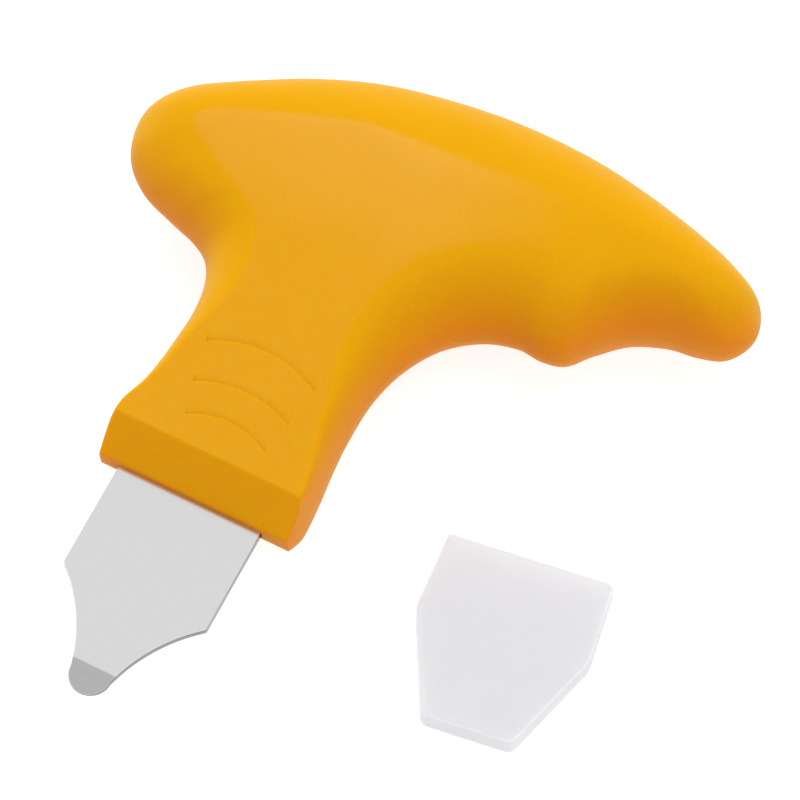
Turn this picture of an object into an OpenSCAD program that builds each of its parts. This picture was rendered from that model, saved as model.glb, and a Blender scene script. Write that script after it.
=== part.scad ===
// T-handled opening knife: a palm handle of two moulded shells, a steel blade and its loose cap.
// The knife lies on the flat of its back shell, with the blade towards -Y. The cap lies beside it.
// Shapes are drawn in the knife's own frame (x across, y up the handle, z through the thickness,
// zero where the blade leaves the collar, on the blade's mid-plane) and then laid on the table.

/* [Blade] */
// Width of the blade
blade_w = 22; // [16:0.5:24]
// Thickness of the blade's sheet
blade_t = 1.5; // [0.8:0.1:2]
// Length of the blade that shows
blade_out = 31; // [26:0.2:40]
// Length of the parallel part that shows
blade_parallel = 15.6; // [8:0.2:18]
// Width of the ground nose
nose_w = 6; // [4:0.5:8]
// Radius of the hollow flanks
flank_r = 24; // [18:1:40]
// Length that the nose is ground back
grind_len = 4.2; // [2:0.2:6]
// Thickness left at the nose's edge
edge_t = 0.5; // [0.2:0.1:0.7]
// Width of the tang
tang_w = 14; // [10:0.5:18]
// Length of the tang inside the handle
tang_len = 33; // [28:1:36]

/* [Handle] */
// Half thickness of the handle where the chamfer starts
collar_h = 6.4; // [5.6:0.1:8]
// Half thickness of the handle in the middle of the grip
grip_h = 12; // [11:0.5:15]
// Height of the collar's end face above the blade's mid-plane
collar_end_h = 2; // [1.8:0.1:4]
// Height of the collar's end face below the blade's mid-plane
collar_end_low = 1.3; // [1.3:0.1:4]
// Length of the collar's chamfer
collar_chamfer = 5.4; // [3:0.2:8]
// Width of the collar at the blade
collar_w = 28.6; // [27.4:0.2:34]
// Width of the stem
stem_w = 27.1; // [26.5:0.1:32.5]
// Length of the grip, from end to end
grip_len = 90.9; // [84:0.5:110]
// Height of the palm over the blade's root
palm_at = 69.1; // [66:0.5:76]
// Round-over of the collar's edges
collar_round = 0.8; // [0.6:0.1:2]
// Round-over of the stem's long edges
stem_round = 4; // [2:0.2:5]
// Round-over of the grip's underside and ends
grip_round = 13; // [9:0.5:14]
// Round-over of the palm side
palm_round = 16; // [11:0.5:17]
// Wall of the shells
wall = 2.6; // [2:0.2:3.2]

/* [Joining] */
// Diameter of the moulded posts
post_d = 4; // [3:0.2:5]
// Play between a post and the hole round it
post_gap = 0.1; // [0.05:0.05:0.2]
// Depth of a post in its socket
post_grip = 4; // [3:0.5:5]
// Wall of the bosses round the posts and sockets
boss_wall = 1.6; // [1.2:0.2:2.4]
// Play between the tang and its bed
bed_gap = 0.05; // [0.02:0.01:0.1]

/* [Cap] */
// Length of the cap
cap_len = 27; // [24:0.5:34]
// Side wall of the cap
cap_wall = 0.7; // [0.6:0.1:1.5]
// Upper and lower wall of the cap
cap_skin = 1.1; // [0.8:0.1:2]
// Play between the blade and the cap, on each side
cap_gap = 0.15; // [0.1:0.05:0.4]
// Width of the cap's closed end
cap_end_w = 13; // [10:0.5:15]
// Distance from the mouth to the widest place
cap_knee = 12; // [11:0.5:14]
// How much wider the cap is there
cap_swell = 0.6; // [0.3:0.1:1.2]
// Turn of the cap on the table, against the knife
cap_turn = 8.4; // [-30:0.1:30]
// Place of the cap's mouth on the table, across the knife
cap_x = 44.6; // [40:0.2:60]
// Place of the cap's mouth on the table, along the knife
cap_y = 15; // [-10:0.2:18]

/* [Hidden] */

big = 200;

// Feature points of the handle's outline at the mid-plane, anticlockwise from below the collar. The
// stem and the collar stand a little to the right of the blade's middle
collar_r = collar_w / 2 + 0.6;
collar_l = 0.6 - collar_w / 2;
stem_r = stem_w / 2 + 1.25;
stem_l = 1.25 - stem_w / 2;
gs = grip_len / 90.9;
ps = (palm_at - 50) / 19.1;
function palm(x, y) = [x * gs, 50 + (y - 50) * ps];
OUTLINE = [
    [collar_r - 0.6, -9], [collar_r, -2], [collar_r + 0.6, 2.9], [stem_r + 0.6, 8.6],
    [stem_r + 0.2, 13.6], [stem_r, 18.6], [stem_r + 0.4, 24.6], [stem_r + 2, 30.1],
    [stem_r + 5.2, 35.4], [24.4 * gs, 38.8], [29 * gs, 40.2], [32.7 * gs, 40], [35.9 * gs, 40.8],
    [38.4 * gs, 43.8], [42.2 * gs, 47.7], [47.2 * gs, 49.9], palm(51.8, 50.6), palm(55.9, 52.1),
    palm(57.9, 56), palm(56.3, 60.2), palm(51.6, 62.8), palm(45.8, 64.7), palm(37, 67.1),
    palm(27, 68.8), palm(16, 69.1), palm(6, 68.1), palm(-4, 66), palm(-13, 62.5), palm(-21, 58),
    palm(-28.2, 53.7), [-32 * gs, 49.6], [-33 * gs, 45.5], [-31.5 * gs, 40.8], [-27.8 * gs, 37.5],
    [-22.9 * gs, 35.7], [stem_l - 6, 34.2], [stem_l - 2.8, 32.1], [stem_l - 0.9, 28.6],
    [stem_l - 0.1, 23.6], [stem_l - 0.3, 17.6], [stem_l - 1, 11.6], [stem_l - 2.3, 6.8],
    [collar_l - 0.5, 2.3], [collar_l, -2], [collar_l + 0.6, -9]
];

// The grip's middle line, and the part of the height over which the stem turns into the grip
grip_from = [-21 * gs, 47.6];
grip_to = palm(45, 57.6);
stem_mid = (stem_r + stem_l) / 2;
branching = [25.6, 41.6];
grip_at = 53.6;
heart = [5 * gs, 51.6];

// Heights over which one round-over turns into the next, and how much of the way to the middle line
// a round-over may take at most
collar_to_stem = [2, 24];
stem_to_grip = [18, 40];
finger_to_palm = [46, 62];
stem_share = 0.86;
grip_share = 0.93;
wall_share = 0.94;

function mix(a, b, t) = a + (b - a) * t;
function ramp(x, lo, hi) = let (t = min(1, max(0, (x - lo) / (hi - lo)))) t * t * (3 - 2 * t);
function rise(y, span) = ramp(y, span[0], span[1]);
function unit(v) = v / norm(v);

// Half thickness of the handle at height y: the two flats close towards the collar
flat_slope = (grip_h - collar_h) / (grip_at - collar_chamfer);
tilt = atan(flat_slope);
function half_at(y) = collar_h + flat_slope * (y - collar_chamfer);

// The outline as a smooth closed curve through its feature points
function curve(a, b, c, d, t) =
    0.5 * (2 * b + (c - a) * t + (2 * a - 5 * b + 4 * c - d) * t * t
           + (3 * b - a - 3 * c + d) * t * t * t);
n_key = len(OUTLINE);
function edge(steps) = [for (i = [0:n_key - 1], j = [0:steps - 1])
    curve(OUTLINE[(i + n_key - 1) % n_key], OUTLINE[i], OUTLINE[(i + 1) % n_key],
          OUTLINE[(i + 2) % n_key], j / steps)];

// The point of the middle line that belongs to an edge point, and the round-over there
function on_grip(x) = let (t = min(1, max(0, (x - grip_from.x) / (grip_to.x - grip_from.x))))
    mix(grip_from, grip_to, t);
function core(p) = mix([stem_mid, min(p.y, branching[1])], on_grip(p.x), rise(p.y, branching));
function round_at(p) = mix(
    mix(collar_round, stem_round, rise(p.y, collar_to_stem)),
    mix(grip_round, palm_round, rise(p.y, finger_to_palm)), rise(p.y, stem_to_grip));
function most_inward(p) =
    mix(stem_share, grip_share, rise(p.y, stem_to_grip)) * norm(core(p) - p);

// A point of the handle's surface at angle a of the round-over. The round-over rises a little past the
// flat, which cuts it at a soft edge, and it falls below the flat towards the ends of the grip
crown_top = 1.045;
crown_fall = 0.0028;
crown_at = -2;
function crown(x) = crown_top - crown_fall * abs(x - crown_at);
function ring_point(p, a) =
    let (q = p + unit(core(p) - p) * min(round_at(p), most_inward(p)) * (1 - cos(a)))
    [q.x, q.y, crown(q.x) * half_at(q.y) * sin(a)];
function ring(points, a, side, drop = 0) =
    [for (p = points) let (q = ring_point(p, a)) [q.x, q.y, side * (q.z - drop)]];

// The outline drawn in by the wall at angle a of the round-over
function inside(p, a) =
    let (r = min(round_at(p), most_inward(p)), way = core(p) - p)
    p + unit(way) * min(wall + (r - wall / 2) * (1 - cos(a)), wall_share * norm(way));

// Half of the handle, above (side 1) or below (side -1) the mid-plane, with a skirt that runs past it
skirt = 2;
module rounded_half(side, steps, rings) {
    points = edge(steps);
    n = len(points);
    levels = concat([[0, skirt]], [for (k = [0:rings]) [90 * k / rings, 0]]);
    m = len(levels);
    function face(f) = side > 0 ? f : [f[2], f[1], f[0]];
    polyhedron(
        points = concat([for (l = levels) each ring(points, l[0], side, l[1])],
                        [[heart.x, heart.y, -side * skirt],
                         [heart.x, heart.y, side * crown(heart.x) * half_at(heart.y)]]),
        faces = concat(
            [for (k = [0:m - 2], i = [0:n - 1]) let (a = k * n, b = a + n, j = (i + 1) % n)
                each [face([a + i, b + i, b + j]), face([a + i, b + j, a + j])]],
            [for (i = [0:n - 1]) face([m * n, i, (i + 1) % n])],
            [for (i = [0:n - 1]) face([m * n + 1, (m - 1) * n + (i + 1) % n, (m - 1) * n + i])]),
        convexity = 8);
}

// Above the mid-plane (side 1) or mirrored below it (side -1)
module on_side(side) {
    mirror([0, 0, side > 0 ? 0 : 1]) children();
}

// Everything above the flat of a half that is drawn in by w
module above_flat(side, w) {
    on_side(side) translate([0, 0, half_at(0) - w]) rotate([tilt, 0, 0])
        translate([-big / 2, -big / 2, 0]) cube(big);
}

// Everything past the collar's end face, and past its chamfer on one side
module past_collar(side) {
    end_h = side > 0 ? collar_end_h : collar_end_low;
    chamfer = atan((collar_h - end_h) / collar_chamfer);
    translate([-big / 2, -big, -big / 2]) cube(big);
    on_side(side) translate([0, 0, end_h]) rotate([chamfer, 0, 0])
        translate([-big / 2, -big / 2, 0]) cube([big, big / 2 + 2 * collar_chamfer, big / 2]);
}

// Turns a drawing from the knife's own frame to the way it lies on the table
function laid(p) = [p.x, p.y * cos(tilt) - p.z * sin(tilt),
                    p.y * sin(tilt) + p.z * cos(tilt) + half_at(0) * cos(tilt)];
module lay_down() {
    translate([0, 0, half_at(0) * cos(tilt)]) rotate([tilt, 0, 0]) children();
}

// The cap's outside and inside half widths at the mouth, the knee and the closed end
mouth_half = blade_w / 2 + cap_gap + cap_wall;
knee_half = mouth_half + cap_swell;
end_half = cap_end_w / 2;
cap_h = blade_t + 2 * cap_gap + 2 * cap_skin;
cap_end_wall = 1.2;
function cap_outline(w, from, to) = [
    [mouth_half - w, from], [knee_half - w, -cap_knee], [end_half - w, to],
    [w - end_half, to], [w - knee_half, -cap_knee], [w - mouth_half, from]];
function cap_place(p) = [cap_x + p.x * cos(cap_turn) - p.y * sin(cap_turn),
                         cap_y + p.x * sin(cap_turn) + p.y * cos(cap_turn)];

// The middle of the whole object's box, which is moved onto the origin
skin_points = [for (a = [0:90 / 7:90], side = [-1, 1], p = ring(edge(3), a, side)) laid(p)];
cap_points = [for (p = cap_outline(0, 0, -cap_len)) cap_place(p)];
x_lo = min([for (p = skin_points) p.x]);
x_hi = max([for (p = concat(skin_points, cap_points)) p.x]);
y_lo = -blade_out * cos(tilt) - edge_t / 2 * sin(tilt);
y_hi = max([for (p = skin_points) p.y]);
module in_frame() {
    translate([-(x_lo + x_hi) / 2, -(y_lo + y_hi) / 2, 0]) children();
}

// Places that both shells and the blade share
collar_solid = 9;
blade_inside = 7;
pocket = blade_t / 2 + bed_gap;
first_hole = 14.5;
hole_to_end = 7;
tang_holes = [[0, first_hole], [0, tang_len - hole_to_end]];
grip_posts = [[-20 * gs, 48.1], [22 * gs, 54.1], [41 * gs, 56.9]];
boss_d = post_d + 2 * boss_wall;
hollow_steps = [[0.3 * collar_h, 0], [0.45 * grip_h, 32], [0.62 * grip_h, 56]];
socket_room = 0.5;
rib_t = 1.8;
rib_rows = [20, tang_len - 1];
rib_w = tang_w + 2;

// The space of the blade's root and tang, with room g on each side
module root_and_tang(g) {
    for (part = [[blade_w, -1, blade_inside], [tang_w, 0, tang_len]])
        translate([-part[0] / 2 - g, part[1], -blade_t / 2 - g])
            cube([part[0] + 2 * g, part[2] - part[1] + g, blade_t + 2 * g]);
}

// A rib from the mid-plane into the flat's wall, between two heights of the handle
module rib(x, width, from, to) {
    translate([x - width / 2, 0, 0]) rotate([90, 0, 90]) linear_extrude(width) polygon([
        [from, 0], [to, 0], [to, half_at(to) - wall / 2], [from, half_at(from) - wall / 2]]);
}

// Ribs that carry the tang, and bosses that carry the posts or the sockets
module ribs_and_bosses(side) {
    on_side(side) {
        for (y = rib_rows) rib(0, rib_w, y, y + rib_t);
        for (p = concat(tang_holes, grip_posts)) translate([p.x, p.y, 0])
            cylinder(d = boss_d, h = half_at(p.y) - wall / 2, $fn = 48);
    }
}

// Three shallow curved lines cut in the stem's flat, each a chord, its height and a radius
arc_cut = 0.2;
arc_line = 0.5;
ARCS = [[16.6, 21.5, 17], [14.5, 15.2, 17], [12.1, 10.5, 12.5]];
module grip_lines() {
    translate([0, 0, half_at(0)]) rotate([tilt, 0, 0]) translate([stem_mid, 0, -arc_cut])
        for (a = ARCS) translate([0, a[1] - a[2], 0]) rotate([0, 0, 90 - asin(a[0] / 2 / a[2])])
            rotate_extrude(angle = 2 * asin(a[0] / 2 / a[2]), $fn = 120)
                translate([a[2] - arc_line / 2, 0]) square([arc_line, 1]);
}

// The inside of a half: steps of the outline drawn in as the round-over closes, under the flat's wall
module hollow(side) {
    difference() {
        on_side(side) for (step = hollow_steps)
            translate([0, 0, -1]) linear_extrude(1 + step[0])
                polygon([for (p = edge(1)) inside(p, step[1])]);
        above_flat(side, wall);
        translate([-big / 2, collar_solid - big, -big / 2]) cube(big);
    }
}

module shell_wall(side) {
    difference() {
        rounded_half(side, 3, 7);
        above_flat(side, 0);
        on_side(-side) translate([-big / 2, -big / 2, 0]) cube(big);
        past_collar(side);
        hollow(side);
    }
}

// The shell that faces up, with the posts
module handle_front_shell() {
    color([0.93, 0.65, 0.09]) in_frame() lay_down() {
        difference() {
            union() {
                shell_wall(1);
                ribs_and_bosses(1);
            }
            root_and_tang(bed_gap);
            grip_lines();
        }
        for (p = tang_holes) translate([p.x, p.y, -post_grip]) cylinder(d = post_d,
            h = post_grip + pocket + 1, $fn = 48);
        for (p = grip_posts) translate([p.x, p.y, -post_grip]) cylinder(d = post_d,
            h = post_grip + 1, $fn = 48);
    }
}

// The shell that the knife lies on, with the sockets
module handle_back_shell() {
    color([0.9, 0.61, 0.08]) in_frame() lay_down() difference() {
        union() {
            shell_wall(-1);
            ribs_and_bosses(-1);
        }
        root_and_tang(bed_gap);
        for (p = concat(tang_holes, grip_posts)) translate([p.x, p.y, -post_grip - socket_room])
            cylinder(d = post_d + 2 * post_gap, h = post_grip + 2 * socket_room, $fn = 48);
    }
}

// The blade's outline: parallel sides, hollow flanks and a round nose
nose_y = -(blade_out - nose_w / 2);
module blade_outline() {
    shoulder = [blade_w / 2, -blade_parallel];
    neck = [nose_w / 2, nose_y];
    middle = (shoulder + neck) / 2;
    half_chord = norm(shoulder - neck) / 2;
    across = unit([(shoulder - neck).y, -(shoulder - neck).x]);
    hollow_at = middle + across * sqrt(flank_r * flank_r - half_chord * half_chord);
    difference() {
        polygon([[-shoulder.x, blade_inside], [-shoulder.x, shoulder.y], [-neck.x, neck.y],
                 [neck.x, neck.y], [shoulder.x, shoulder.y], [shoulder.x, blade_inside]]);
        for (s = [-1, 1]) translate([s * hollow_at.x, hollow_at.y]) circle(flank_r, $fn = 200);
    }
    translate([0, nose_y]) circle(d = nose_w, $fn = 64);
    translate([-tang_w / 2, 0]) square([tang_w, tang_len]);
}

module blade() {
    grind = atan((blade_t - edge_t) / 2 / grind_len);
    color([0.78, 0.79, 0.8]) in_frame() lay_down() difference() {
        translate([0, 0, -blade_t / 2]) linear_extrude(blade_t) blade_outline();
        for (p = tang_holes) translate([p.x, p.y, -blade_t])
            cylinder(d = post_d + 2 * post_gap, h = 2 * blade_t, $fn = 48);
        for (s = [-1, 1]) on_side(s) translate([0, -blade_out, edge_t / 2])
            rotate([grind, 0, 0]) translate([-nose_w, -nose_w, 0]) cube([2 * nose_w,
                nose_w + grind_len / cos(grind), blade_t]);
    }
}

// The cap: a flat sheath, open at the mouth
module blade_cap() {
    color([0.9, 0.9, 0.92]) in_frame() translate([cap_x, cap_y, 0]) rotate([0, 0, cap_turn])
        difference() {
            linear_extrude(cap_h) polygon(cap_outline(0, 0, -cap_len));
            translate([0, 0, cap_skin]) linear_extrude(cap_h - 2 * cap_skin)
                polygon(cap_outline(cap_wall, 1, cap_end_wall - cap_len));
        }
}

handle_front_shell();
handle_back_shell();
blade();
blade_cap();
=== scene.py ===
# %% [markdown]
# # A palm-handled pry knife and its blade cap
# The object is a hand knife for lifting snapped-on backs and lids. It has a T-shaped plastic handle in
# two moulded shells, a flat steel blade, and a loose cap for the blade. The CAD model gives the frame
# that everything is placed in: metres, +Z up from the table, the blade pointing along -Y. We load it
# first.

# %% Load the frame
import math

import bmesh
import bpy
from mathutils import Matrix, Vector


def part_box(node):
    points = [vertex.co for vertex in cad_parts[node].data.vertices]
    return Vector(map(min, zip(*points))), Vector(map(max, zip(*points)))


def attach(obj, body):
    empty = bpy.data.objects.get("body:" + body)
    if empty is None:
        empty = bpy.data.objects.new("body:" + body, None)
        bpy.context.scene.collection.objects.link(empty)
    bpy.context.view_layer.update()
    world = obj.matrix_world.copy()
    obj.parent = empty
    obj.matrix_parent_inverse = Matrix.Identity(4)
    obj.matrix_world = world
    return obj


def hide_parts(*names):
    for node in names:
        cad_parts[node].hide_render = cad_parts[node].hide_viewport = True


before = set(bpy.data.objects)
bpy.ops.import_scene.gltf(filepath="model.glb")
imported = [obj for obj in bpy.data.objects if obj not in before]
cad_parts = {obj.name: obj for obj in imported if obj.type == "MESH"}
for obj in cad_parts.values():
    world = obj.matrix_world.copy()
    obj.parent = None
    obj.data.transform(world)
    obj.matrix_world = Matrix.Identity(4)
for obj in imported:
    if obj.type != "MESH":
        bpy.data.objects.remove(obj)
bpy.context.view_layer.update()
MM = 0.001

# %% [markdown]
# ## The knife's own frame
# The knife lies on the flat of its back shell, so its blade slopes down a little. It is far easier to
# draw it straight: x across, y up the handle, z through the thickness, with the origin where the blade
# leaves the collar. One matrix then lays every piece on the table. The two flats of the handle close
# towards the collar, and half the angle between them is the slope of the blade.

# %% Lay the knife down
COLLAR_HALF_THICK = 6.4
GRIP_HALF_THICK = 12.0
COLLAR_CHAMFER = 5.4
GRIP_AT = 53.6
BLADE_OUT = 31.0
BLADE_EDGE = 0.5

flat_slope = (GRIP_HALF_THICK - COLLAR_HALF_THICK) / (GRIP_AT - COLLAR_CHAMFER)
tilt = math.atan(flat_slope)


def half_at(y):
    """Half the handle's thickness at height y, in millimetres."""
    return COLLAR_HALF_THICK + flat_slope * (y - COLLAR_CHAMFER)


blade_low, blade_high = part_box("blade")
knife_origin = Vector(((blade_low.x + blade_high.x) / 2,
                       blade_low.y + (BLADE_OUT * math.cos(tilt) + BLADE_EDGE / 2 * math.sin(tilt)) * MM,
                       half_at(0) * math.cos(tilt) * MM))
lay_down = Matrix.Translation(knife_origin) @ Matrix.Rotation(tilt, 4, "X") @ Matrix.Scale(MM, 4)
print("slope of the blade:", round(math.degrees(tilt), 2), "degrees; origin:", tuple(knife_origin))

# %% [markdown]
# ## The camera
# The view is from above and in front, 62 degrees over the table, with the knife turned 28 degrees. A
# long lens keeps the shape free of perspective, as in a catalogue picture. The camera comes first,
# because every later choice is judged through it.

# %% Set the camera
VIEW_TURN = 28.0
VIEW_HEIGHT = 62.0
CAMERA_AWAY = 0.9
VIEW_WIDTH = 0.1096
AIM_FROM_COLLAR = Vector((0.0179, 0.0272, 0.0))
SENSOR = 36.0

turn, height = math.radians(VIEW_TURN), math.radians(VIEW_HEIGHT)
towards_camera = Vector((math.sin(turn) * math.cos(height), -math.cos(turn) * math.cos(height),
                         math.sin(height)))
aim = knife_origin + AIM_FROM_COLLAR
camera = bpy.data.objects.new("camera", bpy.data.cameras.new("camera"))
camera.data.sensor_width = SENSOR
camera.data.lens = SENSOR * CAMERA_AWAY / VIEW_WIDTH
camera.location = aim + towards_camera * CAMERA_AWAY
camera.rotation_euler = (-towards_camera).to_track_quat("-Z", "Y").to_euler()
camera.data.clip_end = 10.0
bpy.context.scene.collection.objects.link(camera)
bpy.context.scene.camera = camera
bpy.context.scene.view_settings.view_transform = "Standard"
print("lens:", round(camera.data.lens), "mm at", CAMERA_AWAY, "m")

# %% [markdown]
# ## The handle's outline
# A palm handle has no straight lines. Its outline is given by the places where its shape turns: the
# collar, the two armpits, the finger scallops, the ends and the palm. A smooth curve runs through them.
# The middle line of the stem and the grip says which way is inward at each of them.

# %% Feature points and the curve through them
STEM_RIGHT, STEM_LEFT = 14.8, -12.3
COLLAR_RIGHT, COLLAR_LEFT = 14.9, -13.7
OUTLINE = [
    (COLLAR_RIGHT - 0.6, -9), (COLLAR_RIGHT, -2), (COLLAR_RIGHT + 0.6, 2.9), (STEM_RIGHT + 0.6, 8.6),
    (STEM_RIGHT + 0.2, 13.6), (STEM_RIGHT, 18.6), (STEM_RIGHT + 0.4, 24.6), (STEM_RIGHT + 2, 30.1),
    (STEM_RIGHT + 5.2, 35.4), (24.4, 38.8), (29, 40.2), (32.7, 40.0), (35.9, 40.8), (38.4, 43.8),
    (42.2, 47.7), (47.2, 49.9), (51.8, 50.6), (55.9, 52.1), (57.9, 56.0), (56.3, 60.2), (51.6, 62.8),
    (45.8, 64.7), (37, 67.1), (27, 68.8), (16, 69.1), (6, 68.1), (-4, 66.0), (-13, 62.5), (-21, 58.0),
    (-28.2, 53.7), (-32, 49.6), (-33, 45.5), (-31.5, 40.8), (-27.8, 37.5), (-22.9, 35.7),
    (STEM_LEFT - 6, 34.2), (STEM_LEFT - 2.8, 32.1), (STEM_LEFT - 0.9, 28.6), (STEM_LEFT - 0.1, 23.6),
    (STEM_LEFT - 0.3, 17.6), (STEM_LEFT - 1, 11.6), (STEM_LEFT - 2.3, 6.8), (COLLAR_LEFT - 0.5, 2.3),
    (COLLAR_LEFT, -2), (COLLAR_LEFT + 0.6, -9),
]
GRIP_FROM, GRIP_TO = Vector((-21, 47.6)), Vector((45, 57.6))
STEM_MIDDLE = (STEM_RIGHT + STEM_LEFT) / 2
BLEND = (25.6, 41.6)
COLLAR_ROUND, STEM_ROUND, GRIP_ROUND, PALM_ROUND = 0.8, 4.0, 13.0, 16.0


def ramp(x, low, high):
    t = min(1.0, max(0.0, (x - low) / (high - low)))
    return t * t * (3 - 2 * t)


def mix(a, b, t):
    return a + (b - a) * t


def smooth_outline(points, steps):
    """A closed curve through the points, with a number of steps from each to the next."""
    points = [Vector(p) for p in points]
    out = []
    for i in range(len(points)):
        a, b, c, d = (points[(i + k) % len(points)] for k in (-1, 0, 1, 2))
        for j in range(steps):
            t = j / steps
            out.append(0.5 * (2 * b + (c - a) * t + (2 * a - 5 * b + 4 * c - d) * t ** 2
                              + (3 * b - a - 3 * c + d) * t ** 3))
    return out


def middle_of(p):
    """The point of the middle line that belongs to a point of the outline."""
    along = min(1.0, max(0.0, (p.x - GRIP_FROM.x) / (GRIP_TO.x - GRIP_FROM.x)))
    return mix(Vector((STEM_MIDDLE, min(p.y, BLEND[1]))), mix(GRIP_FROM, GRIP_TO, along),
               ramp(p.y, *BLEND))


def round_over_at(p):
    """Radius of the round-over: small at the collar, large on the grip, largest on the palm side."""
    stem = mix(COLLAR_ROUND, STEM_ROUND, ramp(p.y, 2, 24))
    grip = mix(GRIP_ROUND, PALM_ROUND, ramp(p.y, 46, 62))
    return mix(stem, grip, ramp(p.y, 18, 40))


outline = smooth_outline(OUTLINE, 8)
print("outline:", len(OUTLINE), "feature points,", len(outline), "points on the curve")

# %% [markdown]
# ## The handle's shells
# Each shell is the half of the handle on one side of the seam. It could be carved from a block with
# subdivision, but a moulded grip is really a set of rings: the outline at the seam, and the same line
# drawn in and raised step by step as the edge rounds over, until it reaches the flat. So a ring of
# edges is extruded again and again, each new ring is put where the round-over says, and the flat and
# the seam are filled. The collar's end and chamfer are sliced off. Their edges stay sharp in the mesh,
# and the plastic's material eases them, because a bevel would spoil the long thin faces beside them.

# %% One half of the handle
CROWN, CROWN_FALL, CROWN_AT = 1.045, 0.0028, -2.0
SOFT = 0.012
INWARD_STEM, INWARD_GRIP = 0.86, 0.93
RINGS = 22
SEAM_CHAMFER = 0.09
COLLAR_END_HALF = {1: 2.0, -1: 1.3}
SHARP = math.radians(24)


def soft_top(x):
    """The lower of x and 1, with the corner between them rounded."""
    h = min(1.0, max(0.0, 0.5 + 0.5 * (1 - x) / SOFT))
    return mix(1.0, x, h) - SOFT * h * (1 - h)


def ring_place(p, angle):
    """Where a point of the outline goes at an angle of the round-over: in, and up to the flat."""
    way = middle_of(p) - p
    reach = min(round_over_at(p), mix(INWARD_STEM, INWARD_GRIP, ramp(p.y, 18, 40)) * way.length)
    q = p + way.normalized() * reach * (1 - math.cos(angle))
    crown = CROWN - CROWN_FALL * abs(q.x - CROWN_AT)
    return Vector((q.x, q.y, half_at(q.y) * soft_top(crown * math.sin(angle))))


def seam_place(p):
    """The outline at the seam itself, drawn in by the seam's tiny chamfer."""
    way = (middle_of(p) - p).normalized() * SEAM_CHAMFER
    return Vector((p.x + way.x, p.y + way.y, 0.0))


def slice_off(bm, point, normal):
    """Cut away what is in front of a plane, and close the cut."""
    geometry = bm.verts[:] + bm.edges[:] + bm.faces[:]
    cut = bmesh.ops.bisect_plane(bm, geom=geometry, plane_co=point, plane_no=normal, clear_outer=True)
    edges = [e for e in cut["geom_cut"] if isinstance(e, bmesh.types.BMEdge)]
    bmesh.ops.triangle_fill(bm, use_beauty=True, use_dissolve=False, edges=edges)


def half_handle(side):
    bm = bmesh.new()
    ring = [bm.verts.new(seam_place(p)) for p in outline]
    edges = [bm.edges.new((ring[i - 1], ring[i])) for i in range(len(ring))]
    bmesh.ops.triangle_fill(bm, use_beauty=True, use_dissolve=False, edges=edges)
    for k in range(RINGS + 1):
        angle = math.radians(90) * k / RINGS
        lift = SEAM_CHAMFER if k == 0 else 0.0
        made = bmesh.ops.extrude_edge_only(bm, edges=edges)["geom"]
        edges = [g for g in made if isinstance(g, bmesh.types.BMEdge)
                 and all(v in made for v in g.verts)]
        fresh = [g for g in made if isinstance(g, bmesh.types.BMVert)]
        order = {tuple(v.co): v for v in fresh}
        ring = [order[key] for key in [tuple(v.co) for v in ring]]
        for vert, p in zip(ring, outline):
            vert.co = ring_place(p, angle) + Vector((0, 0, lift))
    bmesh.ops.triangle_fill(bm, use_beauty=True, use_dissolve=False, edges=edges)
    slice_off(bm, (0, 0, 0), (0, -1, 0))
    slope = Vector((0, COLLAR_END_HALF[side] - COLLAR_HALF_THICK, COLLAR_CHAMFER)).normalized()
    slice_off(bm, (0, 0, COLLAR_END_HALF[side]), slope)
    bmesh.ops.remove_doubles(bm, verts=bm.verts, dist=0.002)
    bmesh.ops.recalc_face_normals(bm, faces=bm.faces)
    if side < 0:
        bmesh.ops.scale(bm, vec=(1, 1, -1), verts=bm.verts)
        bmesh.ops.reverse_faces(bm, faces=bm.faces)
    return bm


print("rings from the seam to the flat:", RINGS + 1)

# %% [markdown]
# ## Cutting with one solid
# The blade's slot and the three grip lines are recesses with clean walls. Modelling them into the
# rings would spoil the even mesh, so each is cut with a small solid of its own, as a mould's insert
# does it. The helper runs a Boolean and keeps only its result.

# %% Helpers for pieces
def as_object(name, bm, matrix=Matrix.Identity(4)):
    """A finished mesh object at the origin, with its place in its mesh."""
    bmesh.ops.transform(bm, matrix=matrix, verts=bm.verts)
    mesh = bpy.data.meshes.new(name)
    bm.to_mesh(mesh)
    bm.free()
    piece = bpy.data.objects.new(name, mesh)
    bpy.context.scene.collection.objects.link(piece)
    return piece


def carve(piece, cutters):
    """Take the cutters out of a piece, and throw them away."""
    for cutter in cutters:
        boolean = piece.modifiers.new("cut", "BOOLEAN")
        boolean.operation, boolean.solver, boolean.object = "DIFFERENCE", "EXACT", cutter
    depsgraph = bpy.context.evaluated_depsgraph_get()
    cut = bpy.data.meshes.new_from_object(piece.evaluated_get(depsgraph))
    piece.modifiers.clear()
    piece.data = cut
    for cutter in cutters:
        bpy.data.objects.remove(cutter)


def smooth_by_angle(piece, angle):
    """Smooth shading, with hard edges where two faces meet at more than the angle.

    The large flat faces then decide the direction of the normals at their corners.
    """
    bm = bmesh.new()
    bm.from_mesh(piece.data)
    bmesh.ops.remove_doubles(bm, verts=bm.verts, dist=1e-6)
    for face in bm.faces:
        face.smooth = True
    for edge in bm.edges:
        edge.smooth = not edge.is_manifold or edge.calc_face_angle() < angle
    bm.to_mesh(piece.data)
    bm.free()
    even = piece.modifiers.new("even normals", "WEIGHTED_NORMAL")
    even.mode, even.keep_sharp = "FACE_AREA", True


def box_cutter(low, high, matrix):
    bm = bmesh.new()
    bmesh.ops.create_cube(bm, size=1)
    size, centre = Vector(high) - Vector(low), (Vector(high) + Vector(low)) / 2
    bmesh.ops.scale(bm, vec=size, verts=bm.verts)
    bmesh.ops.translate(bm, vec=centre, verts=bm.verts)
    return as_object("cutter", bm, matrix)


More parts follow.
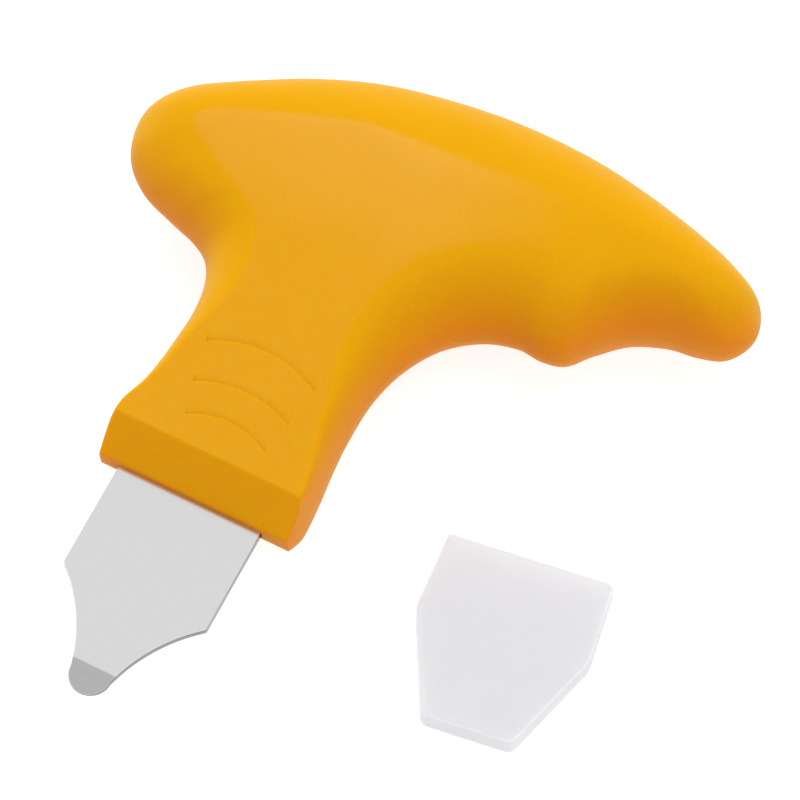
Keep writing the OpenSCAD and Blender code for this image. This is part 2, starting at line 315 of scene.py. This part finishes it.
# %% The grip lines: shallow scales, each deepest at its lower edge
LINE_DEPTH, LINE_FADE, LINE_OVER = 0.24, 1.0, 0.5
GRIP_LINES = [(16.6, 21.5, 17.0), (14.5, 15.2, 17.0), (12.1, 10.5, 12.5)]


def grip_line_cutter(chord, apex, radius):
    """A wedge-shaped section spun round the centre of one line's arc."""
    half = math.asin(chord / 2 / radius)
    bm = bmesh.new()
    section = [(radius, LINE_OVER), (radius, -LINE_DEPTH),
               (radius + LINE_FADE, 0.02), (radius + LINE_FADE, LINE_OVER)]
    verts = [bm.verts.new((x, 0, z)) for x, z in section]
    face = bm.faces.new(verts)
    bmesh.ops.rotate(bm, cent=(0, 0, 0), matrix=Matrix.Rotation(math.pi / 2 - half, 3, "Z"), verts=verts)
    bmesh.ops.spin(bm, geom=[face] + face.edges[:] + verts, cent=(0, 0, 0), axis=(0, 0, 1),
                   angle=2 * half, steps=48, use_merge=False)
    bmesh.ops.recalc_face_normals(bm, faces=bm.faces)
    on_flat = (Matrix.Translation((0, 0, half_at(0))) @ Matrix.Rotation(tilt, 4, "X")
               @ Matrix.Translation((STEM_MIDDLE, apex - radius, 0)))
    return as_object("cutter", bm, lay_down @ on_flat)


# %% The two shells
BLADE_HALF_WIDE, BLADE_HALF_THICK, SLOT_PLAY, SLOT_DEEP = 11.0, 0.75, 0.06, 7.0

shells = {}
for side, name in ((1, "front_shell"), (-1, "back_shell")):
    shell = as_object(name, half_handle(side), lay_down)
    reach = (BLADE_HALF_WIDE + SLOT_PLAY, SLOT_DEEP, BLADE_HALF_THICK + SLOT_PLAY)
    cutters = [box_cutter((-reach[0], -1, -reach[2]), reach, lay_down)]
    if side > 0:
        cutters += [grip_line_cutter(*line) for line in GRIP_LINES]
    carve(shell, cutters)
    smooth_by_angle(shell, SHARP)
    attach(shell, "knife")
    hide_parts("handle_" + name)
    shells[name] = shell
    print(name, len(shell.data.polygons), "faces")

# %% [markdown]
# ## The blade
# The blade is a plain stamping from sheet, and the CAD model already has its true outline, tang and
# ground nose. So it stays. A weld joins its loose triangles, a bevel gives it the fine deburred edge
# that catches the light, and weighted normals keep the broad faces flat in their shading.

# %% The blade's edges
EDGE_BREAK = 0.00024
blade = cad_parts["blade"]
weld = blade.modifiers.new("weld", "WELD")
weld.merge_threshold = 2e-6
burr = blade.modifiers.new("edge break", "BEVEL")
burr.width, burr.segments, burr.limit_method, burr.angle_limit = EDGE_BREAK, 2, "ANGLE", SHARP
burr.use_clamp_overlap = False
even = blade.modifiers.new("even normals", "WEIGHTED_NORMAL")
even.mode, even.weight, even.keep_sharp = "FACE_AREA", 100, False
print("blade:", len(blade.data.vertices), "vertices")

# %% [markdown]
# ## The cap
# The cap is a thin flat sheath of frosted plastic, open at its mouth. It begins as one flat outline
# whose corners are bevelled as vertices, is extruded to its thickness, and gets soft rims. A smaller
# copy of the same outline hollows it, so light passes through its skins as in the real one.

# %% The cap's shape
CAP_LONG, CAP_KNEE, CAP_THICK = 27.0, 12.0, 4.0
MOUTH_HALF, KNEE_HALF, END_HALF = 11.85, 12.45, 6.5
CAP_WALL, CAP_SKIN, CAP_END_WALL = 0.7, 1.1, 1.2
MOUTH_CORNER, KNEE_CORNER, END_CORNER, CAP_RIM = 0.6, 0.9, 1.0, 0.5
CAP_TURN = math.radians(8.4)
CAP_PLACE = Vector((44.6, 15.0, 0.0)) * MM


def cap_block(inset, mouth, end, low, high):
    """The cap's outline drawn in by an inset, and given its thickness."""
    bm = bmesh.new()
    corners = [(MOUTH_HALF, mouth), (KNEE_HALF, -CAP_KNEE), (END_HALF, end)]
    half = [(x - inset, y) for x, y in corners]
    verts = [bm.verts.new((x, y, low)) for x, y in half + [(-x, y) for x, y in reversed(half)]]
    bm.faces.new(verts)
    for y, offset in ((mouth, MOUTH_CORNER), (-CAP_KNEE, KNEE_CORNER), (end, END_CORNER - inset)):
        corner = [v for v in bm.verts if abs(v.co.y - y) < 0.01]
        bmesh.ops.bevel(bm, geom=corner, offset=offset, segments=6, profile=0.5, affect="VERTICES",
                        offset_type="OFFSET", material=-1)
    made = bmesh.ops.extrude_face_region(bm, geom=bm.faces[:])["geom"]
    upper = [g for g in made if isinstance(g, bmesh.types.BMVert)]
    bmesh.ops.translate(bm, vec=(0, 0, high - low), verts=upper)
    bmesh.ops.recalc_face_normals(bm, faces=bm.faces)
    return bm


cap_matrix = (Matrix.Translation(Vector((knife_origin.x, knife_origin.y, 0)) + CAP_PLACE)
              @ Matrix.Rotation(CAP_TURN, 4, "Z") @ Matrix.Scale(MM, 4))
block = cap_block(0, 0, -CAP_LONG, 0, CAP_THICK)
rims = [e for e in block.edges if abs(e.verts[0].co.z - e.verts[1].co.z) < 0.01]
bmesh.ops.bevel(block, geom=rims, offset=CAP_RIM, segments=4, profile=0.5, affect="EDGES", material=-1)
cap = as_object("cap_sheath", block, cap_matrix)
hollow = cap_block(CAP_WALL, 1, CAP_END_WALL - CAP_LONG, CAP_SKIN, CAP_THICK - CAP_SKIN)
carve(cap, [as_object("cutter", hollow, cap_matrix)])
smooth_by_angle(cap, SHARP)
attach(cap, "cap")
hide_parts("blade_cap")
print("cap:", len(cap.data.polygons), "faces")

# %% [markdown]
# ## Writing materials as sums
# A procedural material is arithmetic on patterns. Node by node it is hard to read, so one small class
# wraps a socket and lets us write `1 - mask * 0.3`; every operator adds the Math node it stands for.
# A second class holds the material itself, and adds its other nodes.

# %% Greys, and a value with its arithmetic
def grey(value):
    return (value, value, value, 1.0)


class Number:
    """A value in a material that can be added, multiplied and so on."""

    def __init__(self, finish, socket):
        self.finish, self.socket = finish, socket

    def _math(self, operation, first, second, clamp=False):
        node = self.finish.add("ShaderNodeMath", {0: first, 1: second}, operation=operation,
                               use_clamp=clamp)
        return Number(self.finish, node.outputs[0])

    def __add__(self, other):
        return self._math("ADD", self, other)

    def __sub__(self, other):
        return self._math("SUBTRACT", self, other)

    def __rsub__(self, other):
        return self._math("SUBTRACT", other, self)

    def __mul__(self, other):
        return self._math("MULTIPLY", self, other)

    __radd__, __rmul__ = __add__, __mul__

    def clamped(self):
        return self._math("ADD", self, 0.0, clamp=True)


# %% A material under construction
class Finish:
    """A material under construction, with its Principled shader ready."""

    def __init__(self, name, **constants):
        self.material = bpy.data.materials.new(name)
        self.material.use_nodes = True
        self.tree = self.material.node_tree
        self.shader = self.tree.nodes["Principled BSDF"]
        for key, value in constants.items():
            self.shader.inputs[key.replace("_", " ")].default_value = value
        coordinates = self.add("ShaderNodeTexCoord")
        self.place, self.facing = coordinates.outputs["Object"], coordinates.outputs["Normal"]

    def add(self, kind, sockets=None, **settings):
        """Any node: its settings first, then the values or links of its sockets."""
        node = self.tree.nodes.new(kind)
        for key, value in settings.items():
            setattr(node, key, value)
        for key, value in (sockets or {}).items():
            self.feed(node.inputs[key], value)
        return node

    def feed(self, socket, value):
        if isinstance(value, Number):
            value = value.socket
        if isinstance(value, bpy.types.NodeSocket):
            self.tree.links.new(value, socket)
        else:
            socket.default_value = value

    def set(self, key, value):
        self.feed(self.shader.inputs[key], value)

    def noise(self, scale, detail=2.0, place=None):
        """A soft random pattern between 0 and 1."""
        node = self.add("ShaderNodeTexNoise", {"Vector": place or self.place, "Scale": scale,
                                               "Detail": detail})
        return Number(self, node.outputs["Fac"])

    def blend(self, amount, first, second):
        """A colour that goes from the first to the second as the amount grows."""
        node = self.add("ShaderNodeMix", data_type="RGBA")
        for index, value in ((0, amount), (6, first), (7, second)):
            self.feed(node.inputs[index], value)
        return node.outputs[2]

    def bump(self, height, strength, distance, normal=None):
        """Raise the surface by a pattern, on top of a normal if one is given."""
        node = self.add("ShaderNodeBump", {"Height": height, "Strength": strength,
                                           "Distance": distance})
        if normal:
            self.feed(node.inputs["Normal"], normal)
        self.set("Normal", node.outputs["Normal"])

    def parts(self, vector):
        """The three numbers of a vector."""
        node = self.add("ShaderNodeSeparateXYZ", {"Vector": vector})
        return [Number(self, output) for output in node.outputs]


# %% [markdown]
# ## The handle's plastic
# The handle is a coloured moulding with a spark-eroded skin: a fine, even orange peel that breaks up
# its shine. One noise makes the peel, and a broad one lets the colour wander by a few hundredths, as
# pigment does. Light goes a little way into the plastic, and a plain scattering shader gives less of
# its deeper colour in shade than the real plastic. So shade and light are painted into the colour by
# the way the surface faces: painted shade, a deeper orange, where it turns away from the key light, and
# paler painted light where it faces it. The flats get a painted sheen, most of all near the palm. A
# Bevel node rounds the sharp edges in the shading: a wide one for the painted shade, and a fine one for
# the peel.

# %% Moulded yellow plastic
SOFT_EDGE, FINE_EDGE = 0.0011, 0.0003
LIGHT_WAY, LIT_FROM = (-0.3, 0.5, 1.0), 0.38
plastic = Finish("moulded_yellow_plastic", IOR=1.46, Specular_IOR_Level=0.08,
                 Subsurface_Weight=0.3, Subsurface_Scale=0.003, Subsurface_Radius=(1.0, 0.35, 0.03))
peel = plastic.noise(3200.0, 2.0)
patch = plastic.noise(90.0, 3.0)
rounded = plastic.add("ShaderNodeBevel", {"Radius": SOFT_EDGE}, samples=8)
facing = plastic.add("ShaderNodeVectorTransform", {"Vector": rounded.outputs["Normal"]},
                     vector_type="NORMAL", convert_from="WORLD", convert_to="OBJECT")
right, back, up = plastic.parts(facing.outputs["Vector"])
facing_light = right * LIGHT_WAY[0] + back * LIGHT_WAY[1] + up * LIGHT_WAY[2]
# Painted shade and painted light: a deeper orange where the surface turns away from LIGHT_WAY, paler
# where it faces it.
painted_shade_tone = plastic.blend(patch, (0.68, 0.200, 0.001, 1), (0.72, 0.220, 0.001, 1))
painted_light_tone = plastic.blend(patch, (0.76, 0.365, 0.001, 1), (0.80, 0.385, 0.002, 1))
painted_shade_and_light = plastic.blend((facing_light + LIT_FROM).clamped(), painted_shade_tone, painted_light_tone)
print("plastic: edges eased over", SOFT_EDGE * 1000, "mm")

# %% The flat's painted sheen
PALE_LEFT_OF, LEFT_FADE = 0.030, 50.0
PALER_ABOVE, ABOVE_FADE = 0.036, 40.0
FLAT_FROM, FLAT_RISE = 0.975, 60.0
across, along = plastic.parts(plastic.place)[:2]
left_part = ((knife_origin.x + PALE_LEFT_OF - across) * LEFT_FADE).clamped()
as_flat = up * math.cos(2 * tilt) - back * math.sin(2 * tilt)
# Painted sheen: the flat, left of the grip, is painted paler and greyer, most of all near the palm.
painted_sheen_mask = ((as_flat - FLAT_FROM) * FLAT_RISE).clamped() * left_part
near_palm = ((along - knife_origin.y - PALER_ABOVE) * ABOVE_FADE).clamped()
faint_sheen_tone = plastic.blend(patch, (0.745, 0.350, 0.008, 1), (0.785, 0.375, 0.014, 1))
strong_sheen_tone = plastic.blend(patch, (0.79, 0.400, 0.038, 1), (0.84, 0.430, 0.054, 1))
painted_sheen_tone = plastic.blend(near_palm, faint_sheen_tone, strong_sheen_tone)
plastic.set("Base Color", plastic.blend(painted_sheen_mask, painted_shade_and_light, painted_sheen_tone))
plastic.set("Roughness", 0.40 + peel * 0.14)
eased = plastic.add("ShaderNodeBevel", {"Radius": FINE_EDGE}, samples=6)
plastic.bump(peel, 0.7, 0.0001, eased.outputs["Normal"])
for shell in shells.values():
    shell.data.materials.clear()
    shell.data.materials.append(plastic.material)
print("plastic:", len(plastic.tree.nodes), "nodes")

# %% [markdown]
# ## The blade's steel
# The faces are satin rolled sheet with a fine lengthwise grain. The nose is ground afterwards, which
# crosses it with coarser lines, and its colour is set darker. The sheared edges are set darker still,
# partly for the dull sheared steel and partly as painted shade along the blade's outline, and the broken
# corner between them and the faces gets a painted highlight: both are told by how far the surface faces
# up. A mapping puts the patterns in the knife's own frame.

# %% Satin steel with a ground nose
GRIND_LONG, GRIND_FADE = 4.2, 4.0
BROKEN_BELOW, SHEARED_BELOW = 0.985, 0.3
steel = Finish("satin_blade_steel", Metallic=1.0)
inverse = lay_down.inverted()
in_knife = steel.add("ShaderNodeMapping", {"Vector": steel.place, "Location": inverse.translation,
                                           "Rotation": inverse.to_euler(), "Scale": inverse.to_scale()})
lengthwise = steel.parts(in_knife.outputs["Vector"])[1]
ground = ((GRIND_LONG - BLADE_OUT - lengthwise) * GRIND_FADE).clamped()
long_grain = steel.add("ShaderNodeMapping", {"Vector": in_knife.outputs["Vector"],
                                             "Scale": (14.0, 0.35, 1.0)})
cross_grain = steel.add("ShaderNodeMapping", {"Vector": in_knife.outputs["Vector"],
                                              "Scale": (0.6, 12.0, 1.0)})
rolled = steel.noise(1.0, 3.0, long_grain.outputs["Vector"])
ground_lines = steel.noise(1.0, 2.0, cross_grain.outputs["Vector"])
cloud = steel.noise(60.0, 2.0)
sheet = steel.blend(rolled, grey(0.96), grey(0.98))
# The nose's colour is set darker than the sheet's.
nose = steel.blend(ground_lines, grey(0.57), grey(0.69))
steel_up = steel.parts(steel.facing)[2]
# Painted highlight: the broken corner between edge and face is set bright.
painted_edge_highlight = ((BROKEN_BELOW - steel_up) * 20.0).clamped()
# Dark sheared edges: partly the dull sheared steel, partly painted shade along the outline.
sheared_and_shaded_edge = ((SHEARED_BELOW - steel_up * steel_up) * 6.0).clamped()
face = steel.blend(painted_edge_highlight * (1 - ground), steel.blend(ground, sheet, nose), grey(1.0))
steel.set("Base Color", steel.blend(sheared_and_shaded_edge, face, (0.24, 0.24, 0.25, 1)))
steel.set("Roughness", 0.20 + rolled * 0.05 + cloud * 0.03 + ground * 0.10)
steel.bump(rolled * (1 - ground) + ground_lines * ground, 0.12, 0.00002)
blade.data.materials.clear()
blade.data.materials.append(steel.material)
print("steel:", len(steel.tree.nodes), "nodes")

# %% [markdown]
# ## The cap's frosted plastic
# Unpigmented polythene lets light in, scatters it and lets it out, so a cap looks milky. Part of the
# light is transmitted with a rough surface, and the rest is scattered white. Its rims get a painted
# glow, a faint emission for the bright lines along them: they are where the surface is half way between
# up and level.

# %% Frosted white plastic
RIM_FROM, RIM_RISE = 0.1, 8.0
frosted = Finish("frosted_cap_plastic", IOR=1.5, Transmission_Weight=0.25, Emission_Strength=0.11,
                 Subsurface_Weight=0.4, Subsurface_Scale=0.003, Subsurface_Radius=(1.0, 1.0, 1.0))
milk = frosted.noise(220.0, 3.0)
frost = frosted.noise(2600.0, 2.0)
frosted.set("Base Color", frosted.blend(milk, (0.90, 0.90, 0.94, 1), (0.94, 0.94, 0.975, 1)))
cap_up = frosted.parts(frosted.facing)[2]
# Painted glow: a faint emission on the rims, where the surface is half way between up and level.
painted_rim_glow = ((cap_up * (1 - cap_up) - RIM_FROM) * RIM_RISE).clamped()
frosted.set("Emission Color", frosted.blend(painted_rim_glow, grey(0.0), grey(1.0)))
frosted.set("Roughness", 0.45 + frost * 0.15)
frosted.bump(frost, 0.2, 0.00004)
cap.data.materials.clear()
cap.data.materials.append(frosted.material)
print("frosted:", len(frosted.tree.nodes), "nodes")

# %% [markdown]
# ## The studio
# A catalogue picture of a small tool is lit by large soft sources on a white sweep, so that the floor
# nearly disappears. One big disc behind on the left does most of the work, a small one overhead and one
# on the right fill in, and the world does the rest. The discs aren't seen in reflections: the flat
# blade would mirror one of them from some side, and vanish against the white. The table glows a little,
# as a light table does, which keeps it white under the handle.

# %% The table
TABLE_HALF, TABLE_BELOW = 3.0, 0.0002


def matte_floor():
    finish = Finish("matte_white_floor", Roughness=0.9, Emission_Strength=0.80,
                    Emission_Color=grey(1.0))
    tone = finish.noise(3.0, 2.0)
    finish.set("Base Color", finish.blend(tone, grey(0.38), grey(0.41)))
    return finish.material


floor_mesh = bmesh.new()
bmesh.ops.create_grid(floor_mesh, x_segments=8, y_segments=8, size=TABLE_HALF)
floor = as_object("floor", floor_mesh, Matrix.Translation((0, 0, -TABLE_BELOW)))
floor.data.materials.append(matte_floor())
print("table:", 2 * TABLE_HALF, "m wide")


# %% The lights
def disc_light(name, place, size, power):
    light = bpy.data.lights.new(name, "AREA")
    light.shape, light.size, light.energy = "DISK", size, power
    lamp = bpy.data.objects.new(name, light)
    lamp.location = place
    lamp.rotation_euler = (aim - Vector(place)).to_track_quat("-Z", "Y").to_euler()
    lamp.visible_glossy = False
    bpy.context.scene.collection.objects.link(lamp)


disc_light("key", (-0.5, 0.5, 0.68), 0.6, 3.8)
disc_light("overhead", (0.25, 0.1, 0.95), 0.3, 1.2)
disc_light("right_fill", (0.9, -0.05, 0.5), 0.7, 1.2)
world = bpy.data.worlds.new("studio")
world.use_nodes = True
sky = world.node_tree.nodes["Background"]
sky.inputs["Color"].default_value = grey(1.0)
sky.inputs["Strength"].default_value = 0.71
bpy.context.scene.world = world
